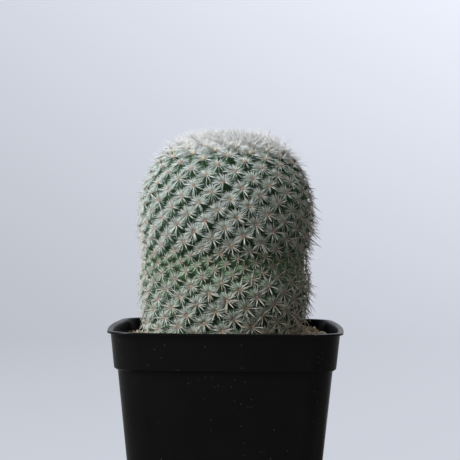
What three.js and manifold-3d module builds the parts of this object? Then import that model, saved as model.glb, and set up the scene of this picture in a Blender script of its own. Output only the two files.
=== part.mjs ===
// A white-spined cactus, Mammillaria albilanata, growing in a square nursery pot.
// Millimetres, +Z up. The origin is the centre of the pot's base, and the front faces -Y.
import * as THREE from 'three';
import { ConvexHull } from 'three/addons/math/ConvexHull.js';
import { mergeVertices } from 'three/addons/utils/BufferGeometryUtils.js';
import Module from 'manifold-3d';

const wasm = await Module();
wasm.setup();

// Clearance between pieces that touch
const GAP = 0.3;

// Pot: thin moulded plastic, 80 mm wide over the lip at its corners, with slightly convex sides
const POT_HEIGHT = 72;
const LIP_HALF = 40;
const LIP_OUT = 1.1;
const LIP_THICK = 0.8;
const LIP_WIDTH = 1.7;
const LIP_ROUND = 0.3;
const COLLAR_HEIGHT = 12.6;
const COLLAR_STEP = 1.2;
const STEP_RISE = 0.8;
const SIDE_TAPER = 0.1;
const WALL = 0.9;
const FLOOR = 1.2;
const BASE_ROUND = 0.6;
const CORNER_RADIUS = 11;
const CORNER_STEPS = 7;
const SIDE_STEPS = 4;
const SIDE_BOW = 1.4;
const DRAIN_RADIUS = 3.5;
const DRAIN_OFFSET = 17;
const DRAIN_SIDES = 20;

// Soil: its surface lies below the lip, with a heap against the plant on the right
const SOIL_TOP = POT_HEIGHT - 6.6;
const HEAP_RISE = 7.2;
const HEAP_RADIUS = 27;
const HEAP_WIDTH = 8.5;
const HEAP_TURN = 0.34;
const HEAP_FACING = -0.05;
const RIPPLES = [
  { height: 0.25, alongX: 0.55, alongY: 0.31, phase: 1.3 },
  { height: 0.2, alongX: 0.35, alongY: -0.9, phase: 0.4 },
];
const SURFACE_RINGS = 7;
const PIT_RINGS = 9;
const PIT_GAP = 0.42;
const PIT_END = Math.PI - 0.02;
const PEBBLES = 34;
const PEBBLE_RADII = [1, 1.8];
const PEBBLE_STRETCH = [0.85, 1.25];
const PEBBLE_FLATNESS = 0.75;
const PEBBLE_SINK = 0.11;
const PEBBLE_CLEAR = 32.5;
const CORNER_CUT = 1.62;
const BIG_STONE = { x: 34.6, y: -2.5, radius: 2.1 };

// Stem: the outline that the tubercle tips lie on is a superellipse with unequal halves
const STEM_RADIUS = 30.9;
const WIDEST_HEIGHT = POT_HEIGHT + 36.5;
const CROWN_RISE = 30.8;
const ROOT_DROP = 68;
const OUTLINE_POWER = 2.5;
const OUTLINE_STEPS = 20000;
const OUTLINE_NUDGE = 0.001;
const WAIST_HEIGHT = POT_HEIGHT + 24;
const WAIST_DEPTH = 1.55;
const WAIST_WIDTH = 7;
const WAIST_BIAS = 0.3;
const WAIST_FACING = -1.05;
const STEM_LEAN = THREE.MathUtils.degToRad(0.9);
const STEM_SHIFT = -0.9;

// Tubercles: each stands the golden angle round from the last, which makes 13 and 21 spirals
const DIVERGENCE = THREE.MathUtils.degToRad(-137.511);
const FIRST_AZIMUTH = THREE.MathUtils.degToRad(47.42);
const CELL_AREA = 34.51;
const YOUNG_AREA = 3.6;
const BURIED_AREA = 110;
const GROWN_ARC = 16.84;
const YOUNG_POWER = 1.15;
const YOUNG_BLEND = 5;
const PINCH = 0.486;
const PINCH_HEIGHT = POT_HEIGHT + 22.08;
const PINCH_WIDTH = 5.45;
const DEPTH_SHARE = 0.66;
const TIP_SHARE = 0.125;
const TIP_DOME = 0.3;
const TIP_LIFT = 0.14;
const BURIED_INSET = 2.6;
const SOIL_MARGIN = 3.7;
const JITTER = 0.006;

// Spines: stout central ones on each tubercle, splayed as far as their neighbours leave room
const SPINES = 5;
const YOUNG_SPINES = 3;
const YOUNG_SPACING = 4.5;
const SPINE_LENGTHS = [2, 3.2];
const SPINE_SPLAY = THREE.MathUtils.degToRad(60);
const SPINE_ROOM = 0.94;
const SPINE_RISE = 0.2;

// A fixed scatter between 0 and 1 for the item k, one value for each channel
function scatter(k, channel) {
  const wave = Math.sin(k * 12.9898 + channel * 78.233) * 43758.5453;
  return wave - Math.floor(wave);
}

// One rounded-square ring with bowed sides, counter-clockwise seen from above
function squareRing(half, radius, z) {
  const flat = half - radius;
  const quarter = [];
  for (let i = 0; i <= CORNER_STEPS; i++) {
    const angle = (Math.PI / 2) * (i / CORNER_STEPS);
    quarter.push([flat + radius * Math.cos(angle), flat + radius * Math.sin(angle)]);
  }
  for (let i = 1; i < SIDE_STEPS; i++) {
    const across = 1 - (2 * i) / SIDE_STEPS;
    quarter.push([flat * across, half + SIDE_BOW * (1 - across * across)]);
  }
  const ring = [];
  for (let corner = 0; corner < 4; corner++) {
    const cos = Math.round(Math.cos((corner * Math.PI) / 2));
    const sin = Math.round(Math.sin((corner * Math.PI) / 2));
    for (const [x, y] of quarter) {
      ring.push(new THREE.Vector3(x * cos - y * sin, x * sin + y * cos, z));
    }
  }
  return ring;
}

function meshGeometry(points, index) {
  const geometry = new THREE.BufferGeometry();
  geometry.setFromPoints(points);
  geometry.setIndex(index);
  return geometry;
}

// Joins rings of equal count in order, and closes the first and the last on their centres
function loft(rings) {
  const count = rings[0].length;
  const points = rings.flat();
  const index = [];
  for (let r = 0; r + 1 < rings.length; r++) {
    for (let i = 0; i < count; i++) {
      const a = r * count + i;
      const b = r * count + ((i + 1) % count);
      index.push(a, b, b + count, a, b + count, a + count);
    }
  }
  const lastStart = (rings.length - 1) * count;
  const centreOf = (ring) => ring.reduce((sum, p) => sum.add(p), new THREE.Vector3()).divideScalar(count);
  points.push(centreOf(rings[0]), centreOf(rings[rings.length - 1]));
  for (let i = 0; i < count; i++) {
    const next = (i + 1) % count;
    index.push(points.length - 2, next, i);
    index.push(points.length - 1, lastStart + i, lastStart + next);
  }
  return meshGeometry(points, index);
}

function toSolid(geometry) {
  const plain = geometry.clone();
  plain.deleteAttribute('normal');
  plain.deleteAttribute('uv');
  const merged = mergeVertices(plain);
  return new wasm.Manifold(new wasm.Mesh({
    numProp: 3,
    vertProperties: new Float32Array(merged.attributes.position.array),
    triVerts: new Uint32Array(merged.index.array),
  }));
}

function fromSolid(solid) {
  const { numProp, vertProperties, triVerts } = solid.getMesh();
  const points = [];
  for (let i = 0; i < vertProperties.length; i += numProp) {
    points.push(new THREE.Vector3(vertProperties[i], vertProperties[i + 1], vertProperties[i + 2]));
  }
  return meshGeometry(points, Array.from(triVerts));
}

// Half widths of the pot's outside at a height
const COLLAR_FOOT = POT_HEIGHT - COLLAR_HEIGHT;
const BODY_TOP = COLLAR_FOOT - STEP_RISE;
const COLLAR_TOP = POT_HEIGHT - LIP_THICK;
const collarHalf = (z) => LIP_HALF - LIP_OUT - SIDE_TAPER * (COLLAR_TOP - z);
const bodyHalf = (z) => collarHalf(COLLAR_FOOT) - COLLAR_STEP - SIDE_TAPER * (BODY_TOP - z);

// A ring of the pot, set in from its outside by a thickness
function potRing(half, z, inset = 0) {
  return squareRing(half - inset, (CORNER_RADIUS * half) / LIP_HALF - inset, z);
}

function potGeometry() {
  const lipInner = LIP_HALF - LIP_WIDTH;
  const shell = loft([
    potRing(bodyHalf(0), 0, BASE_ROUND),
    potRing(bodyHalf(BASE_ROUND), BASE_ROUND),
    potRing(bodyHalf(BODY_TOP), BODY_TOP),
    potRing(collarHalf(COLLAR_FOOT), COLLAR_FOOT),
    potRing(collarHalf(COLLAR_TOP), COLLAR_TOP),
    potRing(LIP_HALF, COLLAR_TOP, LIP_ROUND),
    potRing(LIP_HALF, COLLAR_TOP + LIP_ROUND),
    potRing(LIP_HALF, POT_HEIGHT - LIP_ROUND),
    potRing(LIP_HALF, POT_HEIGHT, LIP_ROUND),
    potRing(LIP_HALF, POT_HEIGHT, LIP_WIDTH - LIP_ROUND),
    potRing(lipInner, POT_HEIGHT - LIP_ROUND),
    potRing(collarHalf(COLLAR_TOP), COLLAR_TOP - LIP_ROUND, WALL),
    potRing(collarHalf(COLLAR_FOOT), COLLAR_FOOT + LIP_ROUND, WALL),
    potRing(bodyHalf(BODY_TOP), BODY_TOP + LIP_ROUND, WALL),
    potRing(bodyHalf(FLOOR), FLOOR, WALL),
  ]);
  let solid = toSolid(shell);
  for (const [x, y] of [[0, 0], [1, 1], [-1, 1], [-1, -1], [1, -1]]) {
    const drain = new THREE.CylinderGeometry(DRAIN_RADIUS, DRAIN_RADIUS, 4 * FLOOR, DRAIN_SIDES);
    drain.rotateX(Math.PI / 2);
    drain.translate(x * DRAIN_OFFSET, y * DRAIN_OFFSET, FLOOR / 2);
    solid = solid.subtract(toSolid(drain));
  }
  return fromSolid(solid);
}

// Height of the soil's surface: level ground, small ripples, and the heap beside the plant
function soilHeight(x, y) {
  const ripple = RIPPLES.reduce(
    (sum, { height, alongX, alongY, phase }) => sum + height * Math.sin(alongX * x + alongY * y + phase),
    0,
  );
  const turn = Math.atan2(y, x) - HEAP_FACING;
  const across = (Math.hypot(x, y) - HEAP_RADIUS) / HEAP_WIDTH;
  const heap = HEAP_RISE * Math.exp(-across * across - (turn / HEAP_TURN) ** 2);
  return SOIL_TOP + heap + ripple;
}

// The outline of the tubercle tips, from t = 0 at the crown to t = PI at the rootstock's foot
function outline(t) {
  const power = 2 / OUTLINE_POWER;
  const rise = Math.pow(Math.abs(Math.cos(t)), power);
  return {
    radius: STEM_RADIUS * Math.pow(Math.abs(Math.sin(t)), power),
    z: WIDEST_HEIGHT + (t < Math.PI / 2 ? CROWN_RISE : -ROOT_DROP) * rise,
  };
}

// The stem leans a little to the right, and stands a little left of the pot's middle
const STANCE = new THREE.Matrix4().makeTranslation(STEM_SHIFT, 0, POT_HEIGHT)
  .multiply(new THREE.Matrix4().makeRotationY(STEM_LEAN))
  .multiply(new THREE.Matrix4().makeTranslation(0, 0, -POT_HEIGHT));

// The place on the stem's surface at t and an azimuth, with its outward and upward directions
function skin(t, azimuth) {
  const here = outline(t);
  const before = outline(t - OUTLINE_NUDGE);
  const after = outline(t + OUTLINE_NUDGE);
  const length = Math.hypot(after.radius - before.radius, after.z - before.z);
  const along = (after.radius - before.radius) / length;
  const down = (after.z - before.z) / length;
  const waistDepth = WAIST_DEPTH * (1 + WAIST_BIAS * Math.cos(azimuth - WAIST_FACING));
  const radius = here.radius - waistDepth * Math.exp(-(((here.z - WAIST_HEIGHT) / WAIST_WIDTH) ** 2));
  const cos = Math.cos(azimuth);
  const sin = Math.sin(azimuth);
  return {
    point: new THREE.Vector3(radius * cos, radius * sin, here.z).applyMatrix4(STANCE),
    normal: new THREE.Vector3(-down * cos, -down * sin, along).transformDirection(STANCE),
    up: new THREE.Vector3(-along * cos, -along * sin, -down).transformDirection(STANCE),
    east: new THREE.Vector3(-sin, cos, 0).transformDirection(STANCE),
  };
}

// The stem's surface area that one tubercle takes, smaller near the crown and at the waist
function cellArea(arc, z) {
  if (z < SOIL_TOP - SOIL_MARGIN) return BURIED_AREA;
  const young = Math.pow(arc / GROWN_ARC, YOUNG_POWER);
  const grown = young / Math.pow(1 + young ** YOUNG_BLEND, 1 / YOUNG_BLEND);
  const pinch = PINCH * Math.exp(-(((z - PINCH_HEIGHT) / PINCH_WIDTH) ** 2));
  return Math.max(YOUNG_AREA, CELL_AREA * grown * (1 - pinch));
}

// One place after another down the outline, each time that one more tubercle's area is swept
function placeTubercles() {
  const places = [];
  let previous = outline(0);
  let arc = 0;
  let swept = 0;
  let mercator = 0;
  for (let i = 1; i < OUTLINE_STEPS; i++) {
    const t = (Math.PI * i) / OUTLINE_STEPS;
    const here = outline(t);
    const length = Math.hypot(here.radius - previous.radius, here.z - previous.z);
    arc += length;
    swept += (2 * Math.PI * here.radius * length) / cellArea(arc, here.z);
    mercator += length / here.radius;
    previous = here;
    if (swept < places.length + 0.5) continue;
    const k = places.length;
    const azimuth = FIRST_AZIMUTH + k * DIVERGENCE + JITTER * (2 * scatter(k, 1) - 1);
    places.push({ k, mercator, azimuth, ...skin(t, azimuth) });
  }
  return places;
}

// Triangles between neighbouring places. The stem is mapped without shear onto a sphere, where
// the convex hull joins each place to its true neighbours.
function neighbourTriangles(places) {
  const middle = places[Math.floor(places.length / 2)].mercator;
  const onSphere = places.map(({ mercator, azimuth }) => {
    const lift = middle - mercator;
    const radius = 1 / Math.cosh(lift);
    return new THREE.Vector3(radius * Math.cos(azimuth), radius * Math.sin(azimuth), Math.tanh(lift));
  });
  const numberOf = new Map(onSphere.map((point, i) => [point, i]));
  return new ConvexHull().setFromPoints(onSphere).faces.map((face) => {
    const first = face.edge;
    return [first, first.next, first.next.next].map((edge) => numberOf.get(edge.head().point));
  });
}

// For each place, the triangles round it in counter-clockwise order, and its neighbours
function ringsRound(places, triangles) {
  const following = places.map(() => new Map());
  triangles.forEach(([a, b, c], face) => {
    following[a].set(b, { face, next: c });
    following[b].set(c, { face, next: a });
    following[c].set(a, { face, next: b });
  });
  return following.map((steps) => {
    const start = steps.keys().next().value;
    const faces = [];
    const neighbours = [];
    let at = start;
    do {
      const { face, next } = steps.get(at);
      faces.push(face);
      neighbours.push(at);
      at = next;
    } while (at !== start);
    return { faces, neighbours };
  });
}

// Triangles between an outer and an inner ring, both given as { id, angle } and counter-clockwise
function zip(outer, inner, index) {
  const total = outer.length + inner.length;
  let i = 0;
  let j = 0;
  const angleOf = (ring, n) => ring[n % ring.length].angle + 2 * Math.PI * Math.floor(n / ring.length);
  for (let done = 0; done < total; done++) {
    const moveOuter = j === inner.length
      || (i < outer.length && angleOf(outer, i + 1) < angleOf(inner, j + 1));
    const a = outer[i % outer.length].id;
    const b = inner[j % inner.length].id;
    if (moveOuter) {
      i++;
      index.push(a, outer[i % outer.length].id, b);
    } else {
      j++;
      index.push(a, inner[j % inner.length].id, b);
    }
  }
}

// Points round a place, sorted by their angle about it
function sortedByAngle(ids, points, place) {
  const ring = ids.map((id) => {
    const offset = points[id].clone().sub(place.point);
    return { id, angle: Math.atan2(offset.dot(place.up), offset.dot(place.east)) };
  });
  const lowest = ring.reduce((best, item, n) => (item.angle < ring[best].angle ? n : best), 0);
  return [...ring.slice(lowest), ...ring.slice(0, lowest)];
}

// How far a place's own ground reaches in a direction, half way to its neighbours
function roomTowards(place, direction) {
  const borders = place.offsets.map((offset) => {
    const facing = offset.dot(direction);
    return facing > 0 ? offset.lengthSq() / (2 * facing) : Infinity;
  });
  return Math.min(...borders);
}

// A tubercle with its tip polygon, from which each facet is drawn out into one spine
function raiseTubercle(place, ringIds, points, index) {
  const { k, point, normal, up, east, spacing } = place;
  const spines = spacing < YOUNG_SPACING ? YOUNG_SPINES : SPINES;
  const tipRadius = TIP_SHARE * spacing;
  const steepness = up.z;
  const axis = normal.clone().addScaledVector(up, SPINE_RISE * steepness).normalize();
  const centre = point.clone().addScaledVector(up, TIP_LIFT * spacing * steepness);
  const around = (angle) => east.clone().multiplyScalar(Math.cos(angle)).addScaledVector(up, Math.sin(angle));
  const tips = [];
  const step = (2 * Math.PI) / spines;
  const phase = -Math.PI + step * scatter(k, 2);
  for (let i = 0; i < spines; i++) {
    const angle = phase + step * i;
    tips.push({ id: points.length, angle });
    points.push(centre.clone().addScaledVector(around(angle), tipRadius));
  }
  zip(sortedByAngle(ringIds, points, place), tips, index);

  const centreId = points.length;
  points.push(centre.clone().addScaledVector(axis, TIP_DOME * tipRadius));
  for (let i = 0; i < spines; i++) {
    const a = tips[i];
    const b = tips[(i + 1) % spines];
    const outward = around(a.angle + step / 2);
    const room = SPINE_ROOM * roomTowards(place, outward) - tipRadius;
    const lean = Math.min(SPINE_SPLAY, Math.asin(room / SPINE_LENGTHS[0]) || SPINE_SPLAY);
    const length = THREE.MathUtils.clamp(room / Math.sin(lean), ...SPINE_LENGTHS);
    const tip = points[a.id].clone().add(points[b.id]).add(points[centreId]).divideScalar(3);
    tip.addScaledVector(axis, length * Math.cos(lean));
    tip.addScaledVector(outward, length * Math.sin(lean));
    const tipId = points.length;
    points.push(tip);
    index.push(centreId, a.id, tipId, a.id, b.id, tipId, b.id, centreId, tipId);
  }
}

function stemGeometry() {
  const places = placeTubercles();
  const triangles = neighbourTriangles(places);
  const rings = ringsRound(places, triangles);
  places.forEach((place, i) => {
    place.offsets = rings[i].neighbours.map((n) => places[n].point.clone().sub(place.point));
    const distances = place.offsets.map((offset) => offset.length());
    place.spacing = Math.min(...distances);
    place.mean = distances.reduce((sum, d) => sum + d, 0) / distances.length;
    place.bare = place.point.z < soilHeight(place.point.x, place.point.y) + SOIL_MARGIN;
    place.inset = place.bare ? BURIED_INSET : DEPTH_SHARE * place.mean;
  });

  // The grooves between tubercles: one point in the middle of each triangle, set in
  const points = triangles.map((corners) => {
    const groove = new THREE.Vector3();
    for (const n of corners) {
      groove.add(places[n].point).addScaledVector(places[n].normal, -places[n].inset);
    }
    return groove.divideScalar(3);
  });
  const index = [];
  places.forEach((place, i) => {
    if (!place.bare) {
      raiseTubercle(place, rings[i].faces, points, index);
      return;
    }
    const centreId = points.length;
    points.push(place.point.clone().addScaledVector(place.normal, -place.inset));
    rings[i].faces.forEach((face, n, all) => index.push(face, all[(n + 1) % all.length], centreId));
  });
  return meshGeometry(points, index);
}

// The pit that the rootstock stands in, at an azimuth and a share of the way to its foot
function pitPoint(azimuth, share) {
  const startRadius = STEM_RADIUS - BURIED_INSET;
  const top = soilHeight(startRadius * Math.cos(azimuth), startRadius * Math.sin(azimuth));
  const startT = Math.PI - Math.acos(Math.pow((WIDEST_HEIGHT - top) / ROOT_DROP, OUTLINE_POWER / 2));
  const t = THREE.MathUtils.lerp(startT, PIT_END, share);
  const { point, normal } = skin(t, azimuth);
  return point.addScaledVector(normal, PIT_GAP - BURIED_INSET);
}

function pebble({ x, y, radius, k }) {
  const stone = new THREE.IcosahedronGeometry(radius, 0);
  const stretch = (channel) => THREE.MathUtils.lerp(...PEBBLE_STRETCH, scatter(k, channel));
  stone.scale(stretch(7), stretch(8), PEBBLE_FLATNESS);
  stone.rotateZ(2 * Math.PI * scatter(k, 9));
  stone.translate(x, y, soilHeight(x, y) - PEBBLE_SINK * radius);
  return toSolid(stone);
}

// Pebbles lie apart from each other, between the plant and the pot's wall
function scatterPebbles(farthest) {
  const placed = [{ ...BIG_STONE, k: 0 }];
  for (let k = 1; placed.length < PEBBLES; k++) {
    const radius = THREE.MathUtils.lerp(...PEBBLE_RADII, scatter(k, 5) ** 2);
    const reach = farthest - PEBBLE_STRETCH[1] * radius;
    const x = reach * (2 * scatter(k, 3) - 1);
    const y = reach * (2 * scatter(k, 4) - 1);
    const inCorner = Math.abs(x) + Math.abs(y) > CORNER_CUT * reach;
    const crowded = placed.some((other) => {
      const apart = Math.hypot(other.x - x, other.y - y);
      return apart < PEBBLE_STRETCH[1] * (other.radius + radius);
    });
    if (Math.hypot(x, y) < PEBBLE_CLEAR || inCorner || crowded) continue;
    placed.push({ x, y, radius, k });
  }
  return placed;
}

function soilGeometry() {
  const inset = WALL + GAP;
  const stepBottom = BODY_TOP + LIP_ROUND + GAP;
  const stepTop = COLLAR_FOOT + LIP_ROUND + GAP;
  const wallRing = potRing(collarHalf(SOIL_TOP), SOIL_TOP, inset);
  const azimuthOf = (i) => Math.PI / 4 + (2 * Math.PI * (i - CORNER_STEPS / 2)) / wallRing.length;
  const surface = [];
  for (let r = 0; r <= SURFACE_RINGS; r++) {
    surface.push(wallRing.map((p, i) => {
      const edge = pitPoint(azimuthOf(i), 0);
      const x = THREE.MathUtils.lerp(p.x, edge.x, r / SURFACE_RINGS);
      const y = THREE.MathUtils.lerp(p.y, edge.y, r / SURFACE_RINGS);
      return new THREE.Vector3(x, y, soilHeight(x, y));
    }));
  }
  const pit = [];
  for (let r = 1; r <= PIT_RINGS; r++) {
    pit.push(wallRing.map((p, i) => pitPoint(azimuthOf(i), r / PIT_RINGS)));
  }
  const ground = loft([
    potRing(bodyHalf(FLOOR), FLOOR + GAP, inset),
    potRing(bodyHalf(BODY_TOP), stepBottom, inset),
    potRing(collarHalf(COLLAR_FOOT), stepTop, inset),
    ...surface,
    ...pit,
  ]);
  const pebbles = scatterPebbles(collarHalf(SOIL_TOP) - inset - GAP);
  return fromSolid(pebbles.reduce((solid, stone) => solid.add(pebble(stone)), toSolid(ground)));
}

const potMaterial = new THREE.MeshStandardMaterial({ color: 0x17171a, roughness: 0.5, metalness: 0 });
const soilMaterial = new THREE.MeshStandardMaterial({ color: 0x6b5a43, roughness: 0.95, metalness: 0 });
const stemMaterial = new THREE.MeshStandardMaterial({ color: 0x7f9482, roughness: 0.8, metalness: 0 });

const plant = new THREE.Group();

function addPart(name, geometry, material) {
  const mesh = new THREE.Mesh(geometry, material);
  mesh.name = name;
  plant.add(mesh);
}

addPart('pot', potGeometry(), potMaterial);
addPart('soil', soilGeometry(), soilMaterial);
addPart('stem', stemGeometry(), stemMaterial);

export default plant;
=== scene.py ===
# %% [markdown]
# # A white-spined cactus in a square nursery pot
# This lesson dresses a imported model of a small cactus, Mammillaria albilanata, in its pot. The packed
# model gives the sizes and places. Each step below says what a piece is on the real plant, how it could
# be made in Blender, and why it is made the way it is. All lengths are in metres, with +Z up, and the
# front of the pot faces -Y.

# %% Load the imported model
import math

import bpy
import numpy as np
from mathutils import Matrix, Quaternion, Vector, noise


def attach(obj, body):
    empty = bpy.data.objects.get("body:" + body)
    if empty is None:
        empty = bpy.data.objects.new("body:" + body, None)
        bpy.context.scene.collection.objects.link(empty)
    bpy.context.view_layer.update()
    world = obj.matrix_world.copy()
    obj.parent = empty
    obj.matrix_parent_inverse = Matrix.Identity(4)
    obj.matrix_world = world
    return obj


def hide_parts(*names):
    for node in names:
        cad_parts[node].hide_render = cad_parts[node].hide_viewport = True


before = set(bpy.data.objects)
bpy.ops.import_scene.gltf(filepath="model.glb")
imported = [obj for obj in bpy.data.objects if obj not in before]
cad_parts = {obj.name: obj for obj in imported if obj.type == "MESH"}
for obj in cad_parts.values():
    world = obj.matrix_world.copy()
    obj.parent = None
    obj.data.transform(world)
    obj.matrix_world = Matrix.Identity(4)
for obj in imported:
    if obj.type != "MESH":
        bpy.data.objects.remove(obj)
bpy.ops.object.select_all(action="DESELECT")
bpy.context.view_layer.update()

# %% [markdown]
# ## The sizes that every step shares
# The pot and the stem were drawn from a few driving sizes. The same values are used here, so that a
# finer piece keeps the form of the solid that it stands for. A whole plant is a rule repeated, and so
# the stem's outline, its tubercles and the soil's surface are all functions of these numbers.

# %% Shared sizes
MM = 0.001
POT_HEIGHT = 72 * MM
LIP_HALF = 40 * MM
LIP_OUT = 1.1 * MM
LIP_THICK = 0.8 * MM
LIP_WIDTH = 1.7 * MM
COLLAR_HEIGHT = 12.6 * MM
COLLAR_STEP = 1.2 * MM
STEP_RISE = 0.8 * MM
SIDE_TAPER = 0.1
WALL = 0.9 * MM
FLOOR = 1.2 * MM
CORNER_RADIUS = 11 * MM
SIDE_BOW = 1.4 * MM
GAP = 0.3 * MM
SOIL_DROP = 6.6 * MM
SOIL_TOP = POT_HEIGHT - SOIL_DROP

COLLAR_FOOT = POT_HEIGHT - COLLAR_HEIGHT
BODY_TOP = COLLAR_FOOT - STEP_RISE
COLLAR_TOP = POT_HEIGHT - LIP_THICK


def collar_half(height):
    """Half the width of the pot's collar at a height."""
    return LIP_HALF - LIP_OUT - SIDE_TAPER * (COLLAR_TOP - height)


def body_half(height):
    """Half the width of the pot's body at a height."""
    return collar_half(COLLAR_FOOT) - COLLAR_STEP - SIDE_TAPER * (BODY_TOP - height)


def bow_sides(points):
    """Pushes the straight sides of rounded-square rings out, most in the middle of each side."""
    size = np.abs(points[:, :2])
    wide = size.max(axis=1)
    across = size.min(axis=1) / (wide * (1 - CORNER_RADIUS / LIP_HALF) + 1e-9)
    push = SIDE_BOW * np.clip(1 - across**2, 0, None)
    on_x = size[:, 0] > size[:, 1]
    bowed = points.copy()
    bowed[:, 0] += np.where(on_x, np.sign(points[:, 0]) * push, 0)
    bowed[:, 1] += np.where(on_x, 0, np.sign(points[:, 1]) * push)
    return bowed


def scatter(k, channel):
    """A fixed draw between 0 and 1 for the item k, one value for each channel."""
    wave = np.sin(k * 12.9898 + channel * 78.233) * 43758.5453
    return wave - np.floor(wave)


def bell(value, middle, width):
    """1 in the middle, and falling to 0 on both sides of it."""
    return np.exp(-(((value - middle) / width) ** 2))


def between(limits, share):
    """The value at a share of the way from the first limit to the last."""
    return limits[0] + (limits[1] - limits[0]) * share


print(f"pot {2 * LIP_HALF / MM:.0f} mm wide over its lip and {POT_HEIGHT / MM:.0f} mm high")

# %% [markdown]
# ## The camera
# The photograph was taken from close to level with the plant, about half a metre away. A long lens
# seen from there shows the far side of the rim only as a thin band. The camera is turned a little
# round the pot and rolled a little, as the photograph was.

# %% Camera
VIEW_DISTANCE = 500 * MM
VIEW_ELEVATION = math.radians(0.16)
VIEW_YAW = math.radians(0.57)
VIEW_ROLL = math.radians(0.48)
AIM = Vector((1.03 * MM, 0, POT_HEIGHT + 34.24 * MM))
SENSOR = 36
FOCAL_PIXELS = 1391
IMAGE_PIXELS = 460


def add_object(name, data):
    """A new object in the scene, from its data."""
    made = bpy.data.objects.new(name, data)
    bpy.context.scene.collection.objects.link(made)
    return made


def place_camera():
    data = bpy.data.cameras.new("camera")
    data.sensor_width = SENSOR
    data.lens = SENSOR * FOCAL_PIXELS / IMAGE_PIXELS
    data.clip_start = 0.01
    camera = add_object("camera", data)
    yaw = Quaternion((0, 0, 1), VIEW_YAW)
    away = Vector((0, -math.cos(VIEW_ELEVATION), math.sin(VIEW_ELEVATION)))
    camera.location = yaw @ (AIM + VIEW_DISTANCE * away)
    level = (yaw @ -away).to_track_quat("-Z", "Y")
    camera.rotation_mode = "QUATERNION"
    camera.rotation_quaternion = level @ Quaternion((0, 0, 1), VIEW_ROLL)
    bpy.context.scene.camera = camera
    return camera


camera = place_camera()
print(f"camera with a {camera.data.lens:.0f} mm lens at {tuple(camera.location)}")

# %% [markdown]
# ## A pale room with soft light
# White spines need a soft light, or they break up into noise. The room is one bowl: a floor that turns
# up into a wall all round, so that no horizon shows from any side. It is drawn out of a circle by
# extruding its face ring by ring. Where the camera sees it, the room glows pale like the cloth behind
# the plant, with painted light that makes it brighter upwards and to the right. Its back half also
# glows in glossy reflections, a painted reflection. A wide light from the upper left makes the left side
# bright, a weak one high on the right keeps the shaded side readable, and the sky fills in the rest.

# %% Modelling helpers
def edit(piece):
    """Makes a piece the only selected one and opens it in edit mode, with everything in it selected."""
    bpy.ops.object.select_all(action="DESELECT")
    piece.select_set(True)
    bpy.context.view_layer.objects.active = piece
    bpy.ops.object.mode_set(mode="EDIT")
    bpy.ops.mesh.select_all(action="SELECT")


def close_edit():
    bpy.ops.object.mode_set(mode="OBJECT")
    bpy.ops.object.select_all(action="DESELECT")


def draw_out(rings, width, height=0.0):
    """Extrudes the selected face through rings of (width, height), in edit mode, about the Z axis."""
    for next_width, next_height in rings:
        rise = (0, 0, next_height - height)
        bpy.ops.mesh.extrude_region_move(TRANSFORM_OT_translate={"value": rise})
        share = next_width / width
        bpy.ops.transform.resize(value=(share, share, 1), center_override=(0, 0, 0))
        width, height = next_width, next_height


def apply_modifier(piece, kind, **settings):
    modifier = piece.modifiers.new(kind.title(), kind)
    for name, value in settings.items():
        setattr(modifier, name, value)
    bpy.context.view_layer.objects.active = piece
    bpy.ops.object.modifier_apply(modifier=modifier.name)


print("helpers for edit mode and modifiers are ready")

# %% Nodes and materials, the short way
def set_inputs(node, inputs):
    """Gives a node its inputs, as values or as sockets to link."""
    for name, value in inputs.items():
        if isinstance(value, bpy.types.NodeSocket):
            node.id_data.links.new(value, node.inputs[name])
        else:
            node.inputs[name].default_value = value


def add_node(tree, kind, inputs=None, **settings):
    """A new node with its settings and its inputs."""
    node = tree.nodes.new(kind)
    for name, value in settings.items():
        setattr(node, name, value)
    set_inputs(node, inputs or {})
    return node


def new_material(name):
    material = bpy.data.materials.new(name)
    material.use_nodes = True
    return material, material.node_tree


def finish(material, **inputs):
    """Sets the inputs of a material's shader, such as Base_Color or Roughness."""
    shader = material.node_tree.nodes["Principled BSDF"]
    set_inputs(shader, {name.replace("_", " "): value for name, value in inputs.items()})
    return material


def blend(tree, share, first, second):
    """Mixes two colours by a share from 0 to 1, and gives the colour."""
    first, second = ((*one, 1) if isinstance(one, tuple) else one for one in (first, second))
    return add_node(tree, "ShaderNodeMix", {0: share, 6: first, 7: second}, data_type="RGBA").outputs[2]


def spread(tree, value, low, high, least=0.0, most=1.0):
    """Turns a value that runs from low to high into one that runs from least to most."""
    inputs = {"Value": value, "From Min": low, "From Max": high, "To Min": least, "To Max": most}
    return add_node(tree, "ShaderNodeMapRange", inputs).outputs[0]


def calculate(tree, operation, first, second):
    return add_node(tree, "ShaderNodeMath", {0: first, 1: second}, operation=operation).outputs[0]


print("helpers for materials are ready")

# %% Room and lights
ROOM_RADIUS = 1.35
ROOM_FLOOR = 0.85
ROOM_HEIGHT = 1.3
ROOM_SIDES = 96
TURN_STEPS = 12
ROOM_BOUNCE = (0.25, 0.245, 0.235)
ROOM_SHADE = (0.09, 0.094, 0.10)
ROOM_GLOW = (0.60, 0.627, 0.70)
SKY_COLOUR = (1.0, 0.98, 0.91)
SKY_STRENGTH = 0.22


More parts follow.
